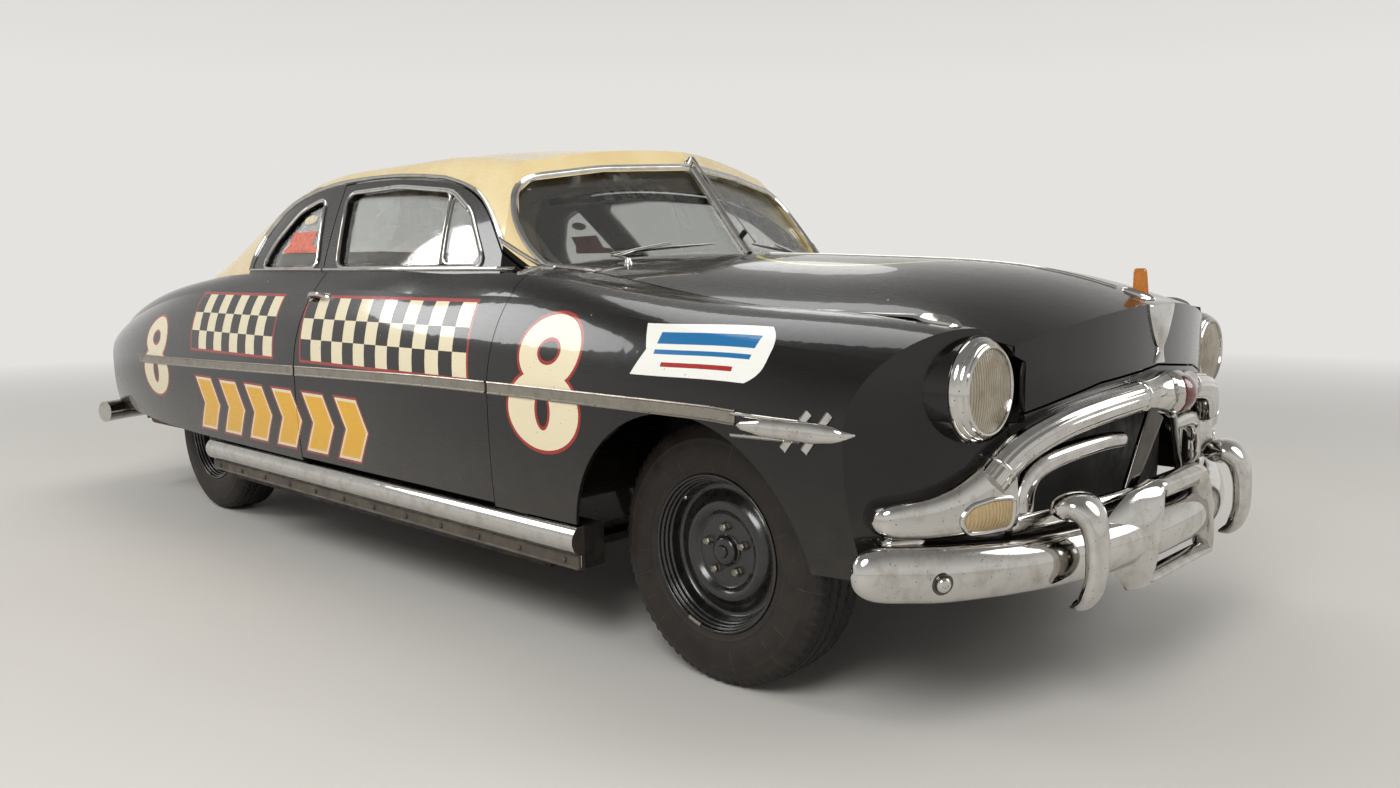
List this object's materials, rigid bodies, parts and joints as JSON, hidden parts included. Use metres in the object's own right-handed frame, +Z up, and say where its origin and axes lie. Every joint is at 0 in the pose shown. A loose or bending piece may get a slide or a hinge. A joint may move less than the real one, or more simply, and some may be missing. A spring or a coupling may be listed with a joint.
{
  "type": "stock car",
  "caption": "Full-size two-door stock car with a low step-down body, black paint, pale roof, chrome grille and bumpers, opening doors, hood and trunk, and steered wheels.",
  "frame": {"origin": "on the ground under the middle of the car's overall box", "axes": "+X forward, +Y to the car's left, +Z up"},
  "size_m": [5.2843, 1.9748, 1.5341],
  "materials": {
    "gloss_black_paint": "gloss",
    "cream_paint": "gloss",
    "chrome_plate": "polished",
    "clear_glass": "polished",
    "red_lamp_glass": "fluted",
    "chassis_black": "satin",
    "black_wheel_paint": "satin",
    "tyre_rubber": "moulded",
    "seat_cloth": "woven",
    "dash_paint": "satin",
    "wheel_plastic": "gloss",
    "cast_engine": "painted",
    "radiator_black": "matt",
    "bare_steel": "worn"
  },
  "bodies": {
    "root": {"front_fender_left": "gloss_black_paint", "front_fender_right": "gloss_black_paint", "front_valance": "gloss_black_paint", "cowl": "gloss_black_paint", "rear_body": "gloss_black_paint", "roof_panel": "cream_paint", "floor_and_frame": "chassis_black", "floor_tunnel": "chassis_black", "sill_mouldings": "chrome_plate", "fixed_glass": "clear_glass", "rear_wheelhouses": "chassis_black", "grille": "chrome_plate", "headlamps": "chrome_plate", "parking_lamps": "chrome_plate", "tail_lamps": "red_lamp_glass", "front_bumper": "chrome_plate", "rear_bumper": "chrome_plate", "front_seat": "seat_cloth", "rear_seat": "seat_cloth", "dashboard": "dash_paint", "steering_column": "dash_paint", "engine": "cast_engine", "radiator": "radiator_black", "driveline": "bare_steel", "fuel_tank": "chassis_black", "exhaust": "bare_steel", "front_suspension": "chassis_black", "rear_axle": "chassis_black"},
    "hood": {"hood": "gloss_black_paint"},
    "trunk_lid": {"trunk_lid": "gloss_black_paint"},
    "door_left": {"door_left": "gloss_black_paint", "door_glass_left": "clear_glass"},
    "door_right": {"door_right": "gloss_black_paint", "door_glass_right": "clear_glass"},
    "steering_wheel": {"steering_wheel": "wheel_plastic"},
    "knuckle_left": {"knuckle_left": "bare_steel"},
    "knuckle_right": {"knuckle_right": "bare_steel"},
    "wheel_front_left": {"wheel_front_left": "black_wheel_paint", "tyre_front_left": "tyre_rubber"},
    "wheel_front_right": {"wheel_front_right": "black_wheel_paint", "tyre_front_right": "tyre_rubber"},
    "wheel_rear_left": {"wheel_rear_left": "black_wheel_paint", "tyre_rear_left": "tyre_rubber"},
    "wheel_rear_right": {"wheel_rear_right": "black_wheel_paint", "tyre_rear_right": "tyre_rubber"}
  },
  "joints": [
    {"name": "hood_hinge", "type": "hinge", "parent": "root", "child": "hood", "pos_m": [2.552, 0, 0.838], "axis": [0, 1, 0], "range_deg": [0, 50]},
    {"name": "trunk_hinge", "type": "hinge", "parent": "root", "child": "trunk_lid", "pos_m": [-1.33, 0, 1.118], "axis": [0, 1, 0], "range_deg": [0, 60]},
    {"name": "door_left_hinge", "type": "hinge", "parent": "root", "child": "door_left", "pos_m": [0.984, 0.986, 0.7], "axis": [0, 0, -1], "range_deg": [0, 65]},
    {"name": "door_right_hinge", "type": "hinge", "parent": "root", "child": "door_right", "pos_m": [0.984, -0.986, 0.7], "axis": [0, 0, 1], "range_deg": [0, 65]},
    {"name": "steer_left", "type": "hinge", "parent": "root", "child": "knuckle_left", "pos_m": [1.748, 0.65, 0.352], "axis": [0, 0, 1], "range_deg": [-28, 28]},
    {"name": "steer_right", "type": "hinge", "parent": "root", "child": "knuckle_right", "pos_m": [1.748, -0.65, 0.352], "axis": [0, 0, 1], "range_deg": [-28, 28]},
    {"name": "steering_wheel_turn", "type": "hinge", "parent": "root", "child": "steering_wheel", "pos_m": [0.64, 0.36, 0.938], "axis": [-0.866, 0, 0.5], "range_deg": [-504, 504]},
    {"name": "spin_front_left", "type": "hinge", "parent": "knuckle_left", "child": "wheel_front_left", "pos_m": [1.748, 0.743, 0.352], "axis": [0, 1, 0], "continuous": true},
    {"name": "spin_front_right", "type": "hinge", "parent": "knuckle_right", "child": "wheel_front_right", "pos_m": [1.748, -0.743, 0.352], "axis": [0, 1, 0], "continuous": true},
    {"name": "spin_rear_left", "type": "hinge", "parent": "root", "child": "wheel_rear_left", "pos_m": [-1.399, 0.705, 0.352], "axis": [0, 1, 0], "continuous": true},
    {"name": "spin_rear_right", "type": "hinge", "parent": "root", "child": "wheel_rear_right", "pos_m": [-1.399, -0.705, 0.352], "axis": [0, 1, 0], "continuous": true}
  ],
  "couplings": [
    {"joint": "steer_right", "follows": "steer_left", "ratio": 1},
    {"joint": "steering_wheel_turn", "follows": "steer_left", "ratio": 18}
  ]
}
